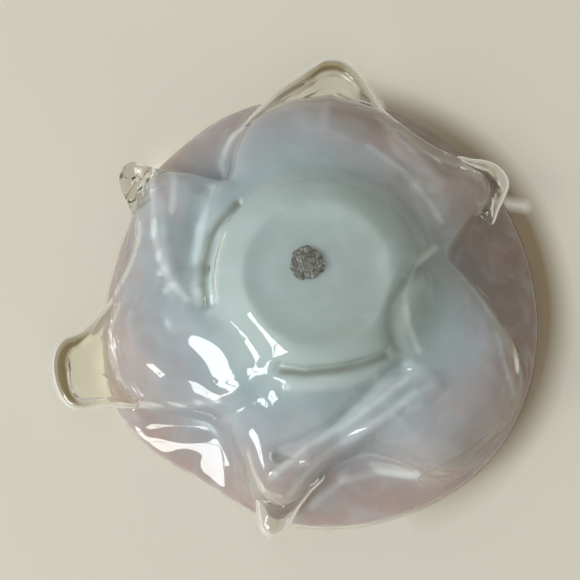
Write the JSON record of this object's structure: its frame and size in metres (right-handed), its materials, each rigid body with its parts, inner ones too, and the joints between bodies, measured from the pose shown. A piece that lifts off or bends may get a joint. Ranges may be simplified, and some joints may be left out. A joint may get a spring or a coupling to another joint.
{
  "type": "art glass bowl",
  "caption": "Shallow round bowl of opal glass cased in clear glass, with broad loops and narrow points of clear glass pulled from its wall, and a recessed foot.",
  "frame": {"origin": "middle of the whole piece's box, on the plane that the foot rests on", "axes": "+Z from the foot to the mouth; -X towards the longest broad loop; -Y towards the broad loop that lies across from the bottom narrow point"},
  "size_m": [0.2812, 0.283, 0.072],
  "materials": {
    "opal_glass": "milky opaline glass, lavender grey, pink at the rim, smooth",
    "casing_glass": "clear glass, fire polished",
    "pad_glass": "thick clear glass over opal, pale blue green, fire polished",
    "scar_glass": "broken glass, dark grey, rough",
    "pulled_glass": "clear glass with a faint olive tint, fire polished"
  },
  "bodies": {
    "root": {"opal_layer": "opal_glass", "clear_casing": "casing_glass", "foot_pad": "pad_glass", "pontil_scar": "scar_glass", "broad_loop_a": "pulled_glass", "broad_loop_b": "pulled_glass", "broad_loop_c": "pulled_glass", "narrow_point_a": "pulled_glass", "narrow_point_b": "pulled_glass", "narrow_point_c": "pulled_glass"}
  },
  "joints": []
}
